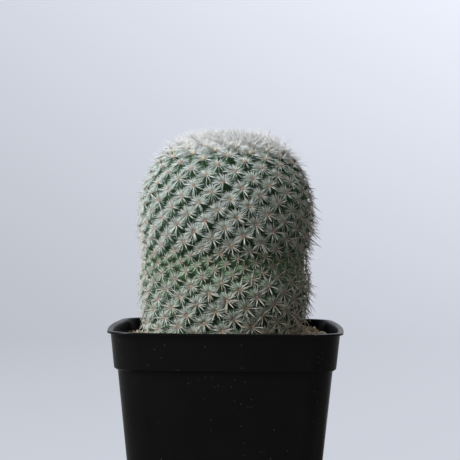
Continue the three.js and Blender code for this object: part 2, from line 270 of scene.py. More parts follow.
def room_material():
    """Throws back a soft grey light. Where the camera sees it, it glows pale and takes faint shadows, with
    painted light that makes it brighter upwards and to the right. Glossy rays see its back half glow, a
    painted reflection.
    """
    material, tree = new_material("pale_room")
    path = add_node(tree, "ShaderNodeLightPath").outputs
    seen = path["Is Camera Ray"]
    here = add_node(tree, "ShaderNodeTexCoord").outputs["Object"]
    place = add_node(tree, "ShaderNodeSeparateXYZ", {"Vector": here}).outputs
    # painted light: the glow is graded brighter to the right and upwards
    side = spread(tree, place["X"], -0.35, 0.35, 0.89, 1.21)
    level = spread(tree, place["Z"], 0.0, 0.45, 0.82, 1.18)
    # painted reflection: glossy rays see the back half of the room glow
    behind = spread(tree, place["Y"], 0.0, 0.8, 0.0, 0.7)
    painted_reflection = calculate(tree, "MULTIPLY", path["Is Glossy Ray"], behind)
    share = calculate(tree, "MAXIMUM", seen, painted_reflection)
    shown = calculate(tree, "MULTIPLY", calculate(tree, "MULTIPLY", side, level), share)
    colour = blend(tree, seen, ROOM_BOUNCE, ROOM_SHADE)
    return finish(material, Base_Color=colour, Roughness=0.95, Specular_IOR_Level=0.0,
                  Emission_Color=(*ROOM_GLOW, 1), Emission_Strength=shown)


def build_room():
    turn = ROOM_RADIUS - ROOM_FLOOR
    angles = [math.pi / 2 * step / TURN_STEPS for step in range(1, TURN_STEPS + 1)]
    rings = [(ROOM_FLOOR + turn * math.sin(a), turn * (1 - math.cos(a))) for a in angles]
    bpy.ops.mesh.primitive_circle_add(vertices=ROOM_SIDES, radius=ROOM_FLOOR, fill_type="NGON")
    room = bpy.context.object
    room.name = "room"
    edit(room)
    draw_out(rings + [(ROOM_RADIUS, ROOM_HEIGHT)], ROOM_FLOOR)
    bpy.ops.mesh.delete(type="FACE")
    close_edit()
    room.data.shade_smooth()
    room.data.materials.append(room_material())


def add_light(name, place, size, power, colour):
    data = bpy.data.lights.new(name, "AREA")
    data.size = size
    data.energy = power
    data.color = colour
    light = add_object(name, data)
    light.location = place
    light.rotation_mode = "QUATERNION"
    light.rotation_quaternion = (AIM - light.location).to_track_quat("-Z", "Y")


build_room()
add_light("key_light", place=(-0.69, -0.39, 0.71), size=0.42, power=15.8, colour=(0.97, 1.0, 1.02))
add_light("fill_light", place=(0.42, -0.26, 0.95), size=0.4, power=1.2, colour=(1.0, 0.95, 0.88))

sky = bpy.data.worlds.new("sky")
bpy.context.scene.world = sky
sky.use_nodes = True
set_inputs(sky.node_tree.nodes["Background"], {"Color": (*SKY_COLOUR, 1), "Strength": SKY_STRENGTH})
bpy.context.scene.view_settings.view_transform = "Standard"

# %% [markdown]
# ## Two effects that several finishes use
# Moulded plastic, soil and skin are never one even tone, and all of them carry small pale specks of
# dust or grit. Each effect is a node group, built once: `mottle` gives a soft cloudy value, and `specks`
# gives a mask of dots. They read Object coordinates, so they stay on the piece from any side.

# %% Shared node groups
def new_group(name, inputs, output):
    tree = bpy.data.node_groups.new(name, "ShaderNodeTree")
    for socket, value in inputs.items():
        made = tree.interface.new_socket(socket, in_out="INPUT", socket_type="NodeSocketFloat")
        made.default_value = value
    tree.interface.new_socket(output, in_out="OUTPUT", socket_type="NodeSocketFloat")
    given = tree.nodes.new("NodeGroupInput").outputs
    place = add_node(tree, "ShaderNodeTexCoord").outputs["Object"]
    return tree, given, place


def build_mottle():
    tree, given, place = new_group("mottle", {"Scale": 300, "Detail": 3, "Low": 0.3, "High": 0.7}, "Value")
    cloud = add_node(tree, "ShaderNodeTexNoise",
                     {"Vector": place, "Scale": given["Scale"], "Detail": given["Detail"]})
    value = spread(tree, cloud.outputs[0], given["Low"], given["High"])
    add_node(tree, "NodeGroupOutput", {"Value": value})
    return tree


def build_specks():
    tree, given, place = new_group("specks", {"Scale": 700, "Share": 0.03, "Size": 0.2}, "Mask")
    cells = add_node(tree, "ShaderNodeTexVoronoi", {"Vector": place, "Scale": given["Scale"]})
    draw = add_node(tree, "ShaderNodeSeparateColor", {"Color": cells.outputs["Color"]})
    chosen = calculate(tree, "LESS_THAN", draw.outputs[0], given["Share"])
    near = calculate(tree, "LESS_THAN", cells.outputs["Distance"], given["Size"])
    add_node(tree, "NodeGroupOutput", {"Mask": calculate(tree, "MULTIPLY", chosen, near)})
    return tree


MOTTLE = build_mottle()
SPECKS = build_specks()


def mottle(tree, scale, detail=3.0, low=0.3, high=0.7):
    """A soft cloudy value from 0 to 1. scale is in features a metre."""
    inputs = {"Scale": scale, "Detail": detail, "Low": low, "High": high}
    return add_node(tree, "ShaderNodeGroup", inputs, node_tree=MOTTLE).outputs["Value"]


def specks(tree, scale, share, size):
    """A mask of dots. share is the part of the cells that hold one, and size its part of a cell."""
    inputs = {"Scale": scale, "Share": share, "Size": size}
    return add_node(tree, "ShaderNodeGroup", inputs, node_tree=SPECKS).outputs["Mask"]


def relief(tree, height, strength, distance):
    """Turns a value into a fine relief, as a normal."""
    inputs = {"Height": height, "Strength": strength, "Distance": distance}
    return add_node(tree, "ShaderNodeBump", inputs).outputs[0]


def attribute(tree, name):
    return add_node(tree, "ShaderNodeAttribute", attribute_name=name).outputs["Fac"]


def fade(tree, name, low, high):
    """A named field of the piece, spread so that low gives 0 and high gives 1."""
    return spread(tree, attribute(tree, name), low, high)


print("node groups:", [group.name for group in bpy.data.node_groups])

# %% [markdown]
# ## The pot
# The real pot is injection-moulded in one shot: a thin shell, square with round corners, that widens
# upwards, steps out into a deep collar and ends in a flat lip. A cube would need its corners cut. A
# square whose four corner points are bevelled is the pot's base at once, and the face is then drawn up
# the outside, over the lip and down the inside, as the plastic runs. The sides are bowed out a little,
# holes are cut in the floor, and a bevel rounds every edge as the mould does. Dust gathers on the black
# plastic in patches, with a few coarser grains.

# %% Pot material
PLASTIC = (0.0021, 0.0021, 0.0026)
PLASTIC_WORN = (0.0041, 0.0040, 0.0050)
DUST = (0.07, 0.068, 0.062)
DUST_GRAIN = (0.30, 0.29, 0.26)


def pot_material():
    material, tree = new_material("black_plastic")
    cloudy = blend(tree, mottle(tree, 55, 4.0, 0.35, 0.75), PLASTIC, PLASTIC_WORN)
    gathered = spread(tree, mottle(tree, 70, 3.0, 0.5, 0.75), 0.0, 1.0, 0.02, 0.3)
    fine = blend(tree, specks(tree, 900, gathered, 0.17), cloudy, DUST)
    shown = blend(tree, specks(tree, 420, 0.012, 0.085), fine, DUST_GRAIN)
    rough = spread(tree, mottle(tree, 90, 4.0), 0.0, 1.0, 0.26, 0.38)
    return finish(material, Base_Color=shown, Roughness=rough, Specular_IOR_Level=0.17,
                  Normal=relief(tree, mottle(tree, 2600, 2.0), 0.12, 0.04 * MM))


POT_FINISH = pot_material()
print("finish:", POT_FINISH.name)

# %% Pot
CORNER_STEPS = 14
SIDE_STEPS = 12
DRAIN_RADIUS = 3.5 * MM
DRAIN_OFFSET = 17 * MM
DRAIN_SIDES = 32
EDGE_ROUND = 0.28 * MM
ROUND_STEPS = 3
CREASE = math.radians(32)


def dress(piece, material, slot, *nodes):
    """Gives a finished piece its material, its body and the nodes that it stands for. The slot is not used.
    """
    piece.data.materials.clear()
    piece.data.materials.append(material)
    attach(piece, "root")
    if nodes:
        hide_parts(*nodes)
    triangles = sum(len(face.vertices) - 2 for face in piece.data.polygons)
    print(f"{piece.name}: {triangles:,} triangles")


def split_sides(pot, flat):
    """Divides the four long edges of the square, so that its sides can bow out."""
    bpy.ops.object.mode_set(mode="OBJECT")
    vertices = pot.data.vertices
    for face in pot.data.polygons:
        face.select = False
    for edge in pot.data.edges:
        first, last = (vertices[n].co for n in edge.vertices)
        edge.select = (first - last).length > flat
    bpy.ops.object.mode_set(mode="EDIT")
    bpy.ops.mesh.select_mode(type="EDGE")
    bpy.ops.mesh.subdivide(number_cuts=SIDE_STEPS - 1)
    bpy.ops.mesh.select_mode(type="FACE")
    bpy.ops.mesh.select_all(action="SELECT")


def pot_shell():
    foot = body_half(0)
    outside = [
        (body_half(BODY_TOP), BODY_TOP),
        (collar_half(COLLAR_FOOT), COLLAR_FOOT),
        (collar_half(COLLAR_TOP), COLLAR_TOP),
        (LIP_HALF, COLLAR_TOP),
        (LIP_HALF, POT_HEIGHT),
    ]
    inside = [
        (LIP_HALF - LIP_WIDTH, POT_HEIGHT),
        (collar_half(COLLAR_TOP) - WALL, COLLAR_TOP - GAP),
        (collar_half(COLLAR_FOOT) - WALL, COLLAR_FOOT + GAP),
        (body_half(BODY_TOP) - WALL, BODY_TOP + GAP),
        (body_half(FLOOR) - WALL, FLOOR),
    ]
    bpy.ops.mesh.primitive_plane_add(size=2 * foot)
    pot = bpy.context.object
    pot.name = "pot_moulded"
    edit(pot)
    radius = CORNER_RADIUS * foot / LIP_HALF
    bpy.ops.mesh.bevel(offset=radius, segments=CORNER_STEPS, affect="VERTICES")
    split_sides(pot, foot - radius)
    draw_out(outside + inside, foot)
    close_edit()
    straight = np.array([vertex.co for vertex in pot.data.vertices])
    for vertex, place in zip(pot.data.vertices, bow_sides(straight)):
        vertex.co = place
    return pot


def cut_drains(pot):
    for x, y in ((0, 0), (1, 1), (-1, 1), (-1, -1), (1, -1)):
        place = (x * DRAIN_OFFSET, y * DRAIN_OFFSET, FLOOR / 2)
        bpy.ops.mesh.primitive_cylinder_add(
            vertices=DRAIN_SIDES, radius=DRAIN_RADIUS, depth=4 * FLOOR, location=place)
        drain = bpy.context.object
        apply_modifier(pot, "BOOLEAN", object=drain, operation="DIFFERENCE", solver="EXACT")
        bpy.data.objects.remove(drain)


pot = pot_shell()
cut_drains(pot)
apply_modifier(pot, "BEVEL", width=EDGE_ROUND, segments=ROUND_STEPS,
               limit_method="ANGLE", angle_limit=CREASE)
pot.select_set(True)
bpy.ops.object.shade_smooth_by_angle(angle=CREASE)
pot.select_set(False)
dress(pot, POT_FINISH, "pot_plastic", "pot")

# %% [markdown]
# ## The outline of the stem
# The tips of the tubercles lie on a surface of revolution with a flattish crown, a slight waist and a
# root that tapers in the soil. `outline` gives its profile and `skin` any place on it, with the
# directions outwards, upwards and eastwards there. The soil's pit and the plant both use them.

# %% Stem outline
STEM_RADIUS = 30.9 * MM
WIDEST_HEIGHT = POT_HEIGHT + 36.5 * MM
CROWN_RISE = 30.8 * MM
STEM_TOP = WIDEST_HEIGHT + CROWN_RISE
ROOT_DROP = 68 * MM
OUTLINE_POWER = 2.5
OUTLINE_STEPS = 20000
OUTLINE_NUDGE = 0.001
WAIST_HEIGHT = POT_HEIGHT + 24 * MM
WAIST_DEPTH = 1.55 * MM
WAIST_WIDTH = 7 * MM
WAIST_BIAS = 0.3
WAIST_FACING = -1.05
STEM_LEAN = math.radians(0.9)
STEM_SHIFT = -0.9 * MM


def outline(t):
    """Radius and height of the stem's profile, from t = 0 at the crown to t = pi at the root's foot."""
    power = 2 / OUTLINE_POWER
    rise = np.abs(np.cos(t)) ** power
    height = WIDEST_HEIGHT + np.where(t < np.pi / 2, CROWN_RISE, -ROOT_DROP) * rise
    return STEM_RADIUS * np.abs(np.sin(t)) ** power, height


def lean(directions):
    """Turns directions with the stem, which leans a little to the right."""
    cos, sin = math.cos(STEM_LEAN), math.sin(STEM_LEAN)
    x, y, z = np.moveaxis(directions, -1, 0)
    return np.stack([x * cos + z * sin, y, z * cos - x * sin], -1)


def skin(t, azimuth):
    """Places on the stem's surface, with the directions outwards, up along it and east."""
    radius, height = outline(t)
    radius_before, height_before = outline(t - OUTLINE_NUDGE)
    radius_after, height_after = outline(t + OUTLINE_NUDGE)
    length = np.hypot(radius_after - radius_before, height_after - height_before)
    along = (radius_after - radius_before) / length
    down = (height_after - height_before) / length
    waist = WAIST_DEPTH * (1 + WAIST_BIAS * np.cos(azimuth - WAIST_FACING))
    radius = radius - waist * bell(height, WAIST_HEIGHT, WAIST_WIDTH)
    cos, sin = np.cos(azimuth), np.sin(azimuth)
    stance = np.array([STEM_SHIFT, 0, POT_HEIGHT])
    upright = np.stack([radius * cos, radius * sin, height - POT_HEIGHT], -1)
    normal = np.stack([-down * cos, -down * sin, along + 0 * cos], -1)
    up = np.stack([-along * cos, -along * sin, -down + 0 * cos], -1)
    east = np.stack([-sin, cos, 0 * cos], -1)
    return lean(upright) + stance, lean(normal), lean(up), lean(east)


print(f"stem {2 * STEM_RADIUS / MM:.1f} mm wide over its tubercles")

# %% [markdown]
# ## The soil
# A gritty mix fills the pot to just under the lip. It is heaped against the plant on the right and
# rises a little in the far left corner. Its body is one closed form: rings go up the pot's wall, in
# over the surface and down into the pit that the root stands in. Pebbles and grains then lie on the
# surface. Loose grains could be simulated, but a seeded scatter on the known surface lies just as well
# and never moves.

# %% Soil materials
SOIL_BROWNS = ((0.40, 0.335, 0.24), (0.68, 0.60, 0.47))
SOIL_FLECK = (0.42, 0.38, 0.30)
STONE_COLOURS = ((0.0, (0.13, 0.10, 0.068)), (0.3, (0.32, 0.25, 0.17)), (0.55, (0.46, 0.38, 0.27)),
                 (0.75, (0.36, 0.32, 0.25)), (0.9, (0.76, 0.74, 0.66)), (1.0, (0.86, 0.85, 0.78)))
STONE_DIRT = (0.13, 0.10, 0.07)


def soil_material():
    material, tree = new_material("gritty_soil")
    brown = blend(tree, mottle(tree, 420, 6.0), *SOIL_BROWNS)
    flecked = blend(tree, specks(tree, 1300, 0.12, 0.45), brown, SOIL_FLECK)
    return finish(material, Base_Color=flecked, Roughness=0.95, Specular_IOR_Level=0.2,
                  Normal=relief(tree, mottle(tree, 1500, 6.0), 0.8, 0.3 * MM))


def stone_material():
    """Each stone's own draw, kept in its `tone`, picks its colour, from dark bark to pale pumice."""
    material, tree = new_material("small_stones")
    ramp = add_node(tree, "ShaderNodeValToRGB", {"Fac": attribute(tree, "tone")})
    for place, _ in STONE_COLOURS[1:-1]:
        ramp.color_ramp.elements.new(place)
    for element, (place, colour) in zip(ramp.color_ramp.elements, STONE_COLOURS):
        element.position = place
        element.color = (*colour, 1)
    dirty = blend(tree, mottle(tree, 900, 5.0, 0.45, 0.8), ramp.outputs[0], STONE_DIRT)
    return finish(material, Base_Color=dirty, Roughness=0.9, Specular_IOR_Level=0.25,
                  Normal=relief(tree, mottle(tree, 2200, 5.0), 0.6, 0.15 * MM))


SOIL_FINISH = soil_material()
STONE_FINISH = stone_material()
print("finishes:", SOIL_FINISH.name, STONE_FINISH.name)

# %% Soil surface
HEAP_RISE = 7.2 * MM
HEAP_RADIUS = 27 * MM
HEAP_WIDTH = 8.5 * MM
HEAP_TURN = 0.34
HEAP_FACING = -0.05
MOUND_PLACE = (-34 * MM, 25 * MM)
MOUND_RADIUS = 11 * MM
MOUND_RISE = 1.9 * MM
RIPPLES = ((0.25, 0.55, 0.31, 1.3), (0.2, 0.35, -0.9, 0.4))
BURIED_INSET = 2.6 * MM
PIT_GAP = 0.42 * MM
PIT_END = math.pi - 0.02
GROUND_SIDES = 300
GROUND_RINGS = 34
PIT_RINGS = 9
CLOD_SCALE = 380
CLOD_HEIGHT = 0.45 * MM


def soil_height(x, y):
    """The soil's level: small ripples, the heap beside the plant and a low mound in the left far corner."""
    turn = np.arctan2(y, x) - HEAP_FACING
    across = (np.hypot(x, y) - HEAP_RADIUS) / HEAP_WIDTH
    level = SOIL_TOP + HEAP_RISE * np.exp(-across * across - (turn / HEAP_TURN) ** 2)
    away = np.hypot(x - MOUND_PLACE[0], y - MOUND_PLACE[1]) / MOUND_RADIUS
    level = level + MOUND_RISE * np.maximum(1 - away * away, 0) ** 2
    for height, along_x, along_y, phase in RIPPLES:
        level = level + height * MM * np.sin((along_x * x + along_y * y) / MM + phase)
    return level


def square_reach(half, radius, azimuth):
    """How far a rounded square reaches in a direction."""
    cos, sin = np.abs(np.cos(azimuth)), np.abs(np.sin(azimuth))
    flat = half - radius
    side = half / np.maximum(cos, sin)
    corner = flat * (cos + sin)
    inside = np.maximum(corner**2 - 2 * flat**2 + radius**2, 0)
    on_corner = side * np.minimum(cos, sin) > flat
    return np.where(on_corner, corner + np.sqrt(inside), side)


def wall_ring(half, height, azimuth):
    inset = WALL + GAP
    reach = square_reach(half - inset, CORNER_RADIUS * half / LIP_HALF - inset, azimuth)
    return bow_sides(np.stack([reach * np.cos(azimuth), reach * np.sin(azimuth), 0 * azimuth + height], -1))


def pit_ring(share, azimuth):
    """A ring of the pit round the root, at a share of the way to its foot."""
    start = STEM_RADIUS - BURIED_INSET
    top = soil_height(start * np.cos(azimuth), start * np.sin(azimuth))
    start_t = np.pi - np.arccos(((WIDEST_HEIGHT - top) / ROOT_DROP) ** (OUTLINE_POWER / 2))
    point, normal, _, _ = skin(start_t + share * (PIT_END - start_t), azimuth)
    return point + normal * (PIT_GAP - BURIED_INSET)


def clods(points):
    """Small lumps that roughen the ground."""
    return np.array([noise.fractal(Vector(p) * CLOD_SCALE, 1.0, 2.0, 3) for p in points]) * CLOD_HEIGHT


print("soil level at the heap:", round(float(soil_height(HEAP_RADIUS, 0.0)) / MM, 1), "mm")

# %% Soil body
def loft(rings):
    """Faces between rings of equal count, with the first and the last ring closed by a face each."""
    count = len(rings[0])
    here = np.arange(count)
    after = (here + 1) % count
    faces = [here[::-1].tolist()]
    for r in range(len(rings) - 1):
        low, high = r * count, (r + 1) * count
        faces += np.stack([low + here, low + after, high + after, high + here], -1).tolist()
    faces.append((here + (len(rings) - 1) * count).tolist())
    return np.concatenate(rings), faces


def mesh_piece(name, points, faces, **fields):
    """A new smooth piece from points and faces, with one number a point in each named field."""
    mesh = bpy.data.meshes.new(name)
    mesh.from_pydata(points.tolist(), [], faces)
    for field, values in fields.items():
        data = mesh.attributes.new(field, "FLOAT", "POINT").data
        data.foreach_set("value", np.asarray(values, np.float32))
    mesh.shade_smooth()
    return add_object(name, mesh)


def ground_rings():
    azimuth = np.linspace(0, 2 * np.pi, GROUND_SIDES, endpoint=False)
    wall = wall_ring(collar_half(SOIL_TOP), SOIL_TOP, azimuth)
    edge = pit_ring(0, azimuth)
    levels = ((body_half(FLOOR), FLOOR + GAP), (body_half(BODY_TOP), BODY_TOP + 2 * GAP),
              (collar_half(COLLAR_FOOT), COLLAR_FOOT + 2 * GAP))
    rings = [wall_ring(half, height, azimuth) for half, height in levels]
    for r in range(GROUND_RINGS + 1):
        ring = wall + (edge - wall) * r / GROUND_RINGS
        ring[:, 2] = soil_height(ring[:, 0], ring[:, 1]) + clods(ring)
        rings.append(ring)
    return rings + [pit_ring(r / PIT_RINGS, azimuth) for r in range(1, PIT_RINGS + 1)]


soil = mesh_piece("soil_body", *loft(ground_rings()))
dress(soil, SOIL_FINISH, "potting_mix", "soil")

# %% Stones as they are modelled
def take_shape(name):
    """Gives the points and the triangles of the shape that was just modelled, and removes it."""
    shape = bpy.context.object
    edit(shape)
    bpy.ops.mesh.quads_convert_to_tris()
    close_edit()
    points = np.array([v.co for v in shape.data.vertices])
    faces = np.array([f.vertices for f in shape.data.polygons])
    bpy.data.objects.remove(shape)
    print(f"{name}: one of {len(faces)} triangles")
    return points, faces


def stone_shape(seed, subdivisions, lumps):
    """A ball pushed in and out by noise into a worn stone."""
    bpy.ops.mesh.primitive_ico_sphere_add(subdivisions=subdivisions, radius=1)
    for vertex in bpy.context.object.data.vertices:
        push = noise.noise(vertex.co * 1.3 + Vector((seed, 2 * seed, 0)))
        vertex.co *= 1 + lumps * push
    return take_shape(f"stone {seed}")


PEBBLE_SHAPES = [stone_shape(n, subdivisions=3, lumps=0.45) for n in range(3)]
GRAIN_SHAPES = [stone_shape(10 + n, subdivisions=1, lumps=0.9) for n in range(4)]

# %% How shapes are copied
def join_copies(name, copies, faces, **fields):
    """One piece from copies of one shape. A field holds a number for each copy or for each point."""
    each = copies.shape[:2]
    corners = faces + np.arange(each[0])[:, None, None] * each[1]
    full = {field: np.broadcast_to(values, each).ravel() for field, values in fields.items()}
    return mesh_piece(name, copies.reshape(-1, 3), corners.reshape(-1, 3).tolist(), **full)


def place_copies(name, shapes, pick, matrices, places, **fields):
    """Copies of shapes that have the same faces. pick says which shape each copy is of."""
    points = np.stack([shape[0] for shape in shapes])[pick]
    copies = np.einsum("nij,nmj->nmi", matrices, points) + places[:, None]
    return join_copies(name, copies, shapes[0][1], **fields)


print("pebbles come in", len(PEBBLE_SHAPES), "shapes and grains in", len(GRAIN_SHAPES))

# %% Pebbles and grit
PEBBLES = 70
PEBBLE_RADII = (1 * MM, 1.8 * MM)
PEBBLE_STRETCH = (0.85, 1.25)
PEBBLE_FLATNESS = 0.75
PEBBLE_SINK = 0.11
PEBBLE_CLEAR = 32.5 * MM
CORNER_CUT = 1.62
BIG_STONE = (34.6 * MM, -2.5 * MM, 2.1 * MM)
BIG_STONE_TONE = 0.93
PEBBLE_TONES = (0.35, 0.95)
GRAINS = 2600
GRAIN_RADII = (0.28 * MM, 0.95 * MM)
GRAIN_STRETCH = (0.6, 1.3)
GRAIN_RISE = 0.2
GRIT_REACH = 0.985
GRIT_SEED = 7


def turned(angle):
    """Matrices that turn a shape about the Z axis."""
    cos, sin, none = np.cos(angle), np.sin(angle), 0 * angle
    rows = [cos, -sin, none, sin, cos, none, none, none, none + 1]
    return np.stack(rows, -1).reshape(-1, 3, 3)


def pebble_places():
    """(x, y, radius, k) of each pebble, apart from each other, between the plant and the wall."""
    farthest = collar_half(SOIL_TOP) - WALL - 2 * GAP
    placed = [(*BIG_STONE, 0)]
    k = 0
    while len(placed) < PEBBLES:
        k += 1
        radius = between(PEBBLE_RADII, scatter(k, 5) ** 2)
        reach = farthest - PEBBLE_STRETCH[1] * radius
        x, y = reach * (2 * scatter(k, 3) - 1), reach * (2 * scatter(k, 4) - 1)
        crowded = any(
            math.hypot(other[0] - x, other[1] - y) < PEBBLE_STRETCH[1] * (other[2] + radius)
            for other in placed)
        in_corner = abs(x) + abs(y) > CORNER_CUT * reach
        if not (math.hypot(x, y) < PEBBLE_CLEAR or in_corner or crowded):
            placed.append((x, y, radius, k))
    return np.array(placed)


def build_pebbles():
    x, y, radius, k = pebble_places().T
    width, depth = (between(PEBBLE_STRETCH, scatter(k, channel)) for channel in (7, 8))
    sizes = np.stack([radius * width, radius * depth, radius * PEBBLE_FLATNESS], -1)
    matrices = turned(2 * np.pi * scatter(k, 9)) * sizes[:, None, :]
    places = np.stack([x, y, soil_height(x, y) - PEBBLE_SINK * radius], -1)
    tones = between(PEBBLE_TONES, scatter(k, 11))
    tones[0] = BIG_STONE_TONE
    pick = (k % len(PEBBLE_SHAPES)).astype(int)
    return place_copies("soil_pebbles", PEBBLE_SHAPES, pick, matrices, places, tone=tones[:, None])


def build_grit():
    """Grains over the whole surface, each turned at random and sunk nearly to its middle."""
    draw = np.random.default_rng(GRIT_SEED)
    azimuth = draw.uniform(0, 2 * np.pi, GRAINS)
    wall = wall_ring(collar_half(SOIL_TOP), SOIL_TOP, azimuth)[:, :2]
    edge = pit_ring(0, azimuth)[:, :2]
    share = np.sqrt(draw.uniform(0.0, 1.0, GRAINS))[:, None] * GRIT_REACH
    x, y = (edge + (wall - edge) * share).T
    radius = between(GRAIN_RADII, draw.uniform(0, 1, GRAINS) ** 3)
    axes, _ = np.linalg.qr(draw.normal(size=(GRAINS, 3, 3)))
    sizes = radius[:, None] * draw.uniform(*GRAIN_STRETCH, (GRAINS, 3))
    places = np.stack([x, y, soil_height(x, y) + GRAIN_RISE * radius], -1)
    pick = draw.integers(0, len(GRAIN_SHAPES), GRAINS)
    return place_copies("soil_grit", GRAIN_SHAPES, pick, axes * sizes[:, None, :], places,
                        tone=draw.uniform(0, 1, (GRAINS, 1)))


dress(build_pebbles(), STONE_FINISH, "potting_mix")
dress(build_grit(), STONE_FINISH, "potting_mix")

# %% [markdown]
# ## Where the tubercles stand
# A mammillaria has no ribs. Its stem is covered in tubercles, and each new one grows the golden angle,
# 137.5 degrees, round from the last, which gives the two sets of spirals that the eye follows: 13 one
# way and 21 the other. Walking down the outline and setting a tubercle each time that one more
# tubercle's share of the surface has been swept gives exactly that lattice. The shares are small at
# the crown, where the tubercles are young, and at the waist, where growth once paused.

# %% Tubercle places
DIVERGENCE = math.radians(-137.511)
FIRST_AZIMUTH = math.radians(47.42)
CELL_AREA = 34.51 * MM**2
YOUNG_AREA = 3.6 * MM**2
BURIED_AREA = 110 * MM**2
GROWN_ARC = 16.84 * MM
YOUNG_POWER = 1.15
YOUNG_BLEND = 5
PINCH = 0.486
PINCH_HEIGHT = POT_HEIGHT + 22.08 * MM
PINCH_WIDTH = 5.45 * MM
BARE_ABOVE = 0.75
BARE_BELOW = 0.7
SOIL_MARGIN = 3.7 * MM
JITTER = 0.006
TIP_LIFT = 0.14
SPINE_RISE = 0.36
CROWN_ARC = 33 * MM
CROWN_UPRIGHT = 0.9


def bareness(height, azimuth):
    """How few fine spines hide the skin: most at the waist and just under it, in front on the right."""
    facing = 0.5 + 0.5 * np.cos(azimuth - WAIST_FACING)
    width = PINCH_WIDTH * np.where(height < PINCH_HEIGHT, 1 + BARE_BELOW * facing, BARE_ABOVE)
    return facing * bell(height, PINCH_HEIGHT, width)


def cell_area(arc, height):
    """The surface that one tubercle takes, by the way down from the crown and the height."""
    young = (arc / GROWN_ARC) ** YOUNG_POWER
    grown = young / (1 + young**YOUNG_BLEND) ** (1 / YOUNG_BLEND)
    pinched = 1 - PINCH * bell(height, PINCH_HEIGHT, PINCH_WIDTH)
    area = np.maximum(YOUNG_AREA, CELL_AREA * grown * pinched)
    return np.where(height < SOIL_TOP - SOIL_MARGIN, BURIED_AREA, area)


def walk_outline():
    """t, height, the way down from the crown, and the share of one tubercle at each step."""
    t = np.pi * np.arange(OUTLINE_STEPS) / OUTLINE_STEPS
    radius, height = outline(t)
    length = np.hypot(np.diff(radius, prepend=radius[0]), np.diff(height, prepend=height[0]))
    arc = np.cumsum(length)
    area = cell_area(arc, height)
    return t, height, arc, area, 2 * np.pi * radius * length / area


def place_tubercles():
    t, _, arc, area, share = walk_outline()
    swept = np.cumsum(share)
    k = np.arange(int(swept[-1] + 0.5))
    at = np.searchsorted(swept, k + 0.5)
    azimuth = FIRST_AZIMUTH + k * DIVERGENCE + JITTER * (2 * scatter(k, 1) - 1)
    point, normal, up, east = skin(t[at], azimuth)
    shown = point[:, 2] > soil_height(point[:, 0], point[:, 1]) - 2 * MM
    spacing = np.sqrt(area[at] * 2 / math.sqrt(3))
    steep = up[:, 2:]
    places = {
        "k": k, "point": point + up * steep * TIP_LIFT * spacing[:, None], "east": east,
        "axis": normal + up * SPINE_RISE * steep, "height": point[:, 2], "spacing": spacing,
        "youth": np.clip(1 - arc[at] / GROWN_ARC, 0, 1),
        "crown": np.clip(1 - arc[at] / CROWN_ARC, 0, 1),
        "bare": bareness(point[:, 2], azimuth),
    }
    places["axis"][:, 2] += CROWN_UPRIGHT * places["crown"]
    places["axis"] /= np.linalg.norm(places["axis"], axis=1)[:, None]
    return {name: values[shown] for name, values in places.items()}


tubercles = place_tubercles()
print(len(tubercles["k"]), "tubercles show,",
      f"{tubercles['spacing'].min() / MM:.1f} to {tubercles['spacing'].max() / MM:.1f} mm apart")

# %% [markdown]
# ## The green stem
# The flesh is one continuous skin, drawn in between the tubercles. Cones could be stuck on a barrel,
# but their feet would cut into each other. Here a fine grid follows the outline, and each of its points
# is set in by how far it lies from its nearest tubercle tip compared with the next nearest, so the
# grooves fall exactly half way between neighbours. Below the soil the grid is coarse. The skin is deep
# green, darker in the grooves with painted shade, paler where it is bare at the waist, and white with
# wool on the crown.

# %% Stem flesh
FLESH_SIDES = 320
FLESH_STEP = 0.46 * MM
FLESH_DEPTH = 0.66
FLESH_CURVE = 1.25
BURIAL_DEPTH = 3 * MM
ROOT_ROWS = 12
SKIN_GREENS = ((0.036, 0.096, 0.041), (0.060, 0.146, 0.061))
GROOVE_PAINTED_SHADE = (0.021, 0.056, 0.024)
SKIN_DUST = (0.07, 0.13, 0.08)
WAIST_GREEN = (0.108, 0.192, 0.095)
WOOL_WHITES = ((0.50, 0.52, 0.50), (0.93, 0.92, 0.92))


def flesh_rows():
    """The values of t for the grid's rows, even along the outline where the stem shows."""
    t, height, arc, _, _ = walk_outline()
    last = arc[np.argmax(height < SOIL_TOP - 4 * MM)]
    ways = np.arange(FLESH_STEP, last, FLESH_STEP)
    shown = np.interp(ways, arc, t)
    return np.concatenate([shown, np.linspace(shown[-1], PIT_END, ROOT_ROWS + 1)[1:]])


def groove_share(points):
    """0 at a tubercle's tip and 1 half way between two of them."""
    shares = []
    for chunk in np.array_split(points, 60):
        apart = np.linalg.norm(chunk[:, None] - tubercles["point"][None], axis=2)
        nearest = np.partition(apart, 1, axis=1)[:, :2]
        shares.append(2 * nearest[:, 0] / nearest.sum(axis=1))
    return np.concatenate(shares)


def build_flesh():
    t = flesh_rows()
    azimuth = np.linspace(0, 2 * np.pi, FLESH_SIDES, endpoint=False)
    rows, turns = (grid.ravel() for grid in np.meshgrid(t, azimuth, indexing="ij"))
    points, normals, _, _ = skin(rows, turns)
    walked, _, arc, area, _ = walk_outline()
    spacing = np.sqrt(np.interp(rows, walked, area) * 2 / math.sqrt(3))
    share = groove_share(points)
    level = soil_height(points[:, 0], points[:, 1])
    buried = np.clip((level - points[:, 2]) / BURIAL_DEPTH, 0, 1)
    depth = FLESH_DEPTH * spacing * share**FLESH_CURVE * (1 - buried) + BURIED_INSET * buried
    fields = {
        "groove": share, "waist": bareness(points[:, 2], turns),
        "crown": np.clip(1 - np.interp(rows, walked, arc) / CROWN_ARC, 0, 1),
    }
    drawn_in = points - normals * depth[:, None]
    rings = list(drawn_in.reshape(len(t), FLESH_SIDES, 3)[::-1])
    upwards = {name: values.reshape(len(t), FLESH_SIDES)[::-1].ravel() for name, values in fields.items()}
    return mesh_piece("stem_flesh", *loft(rings), **upwards)


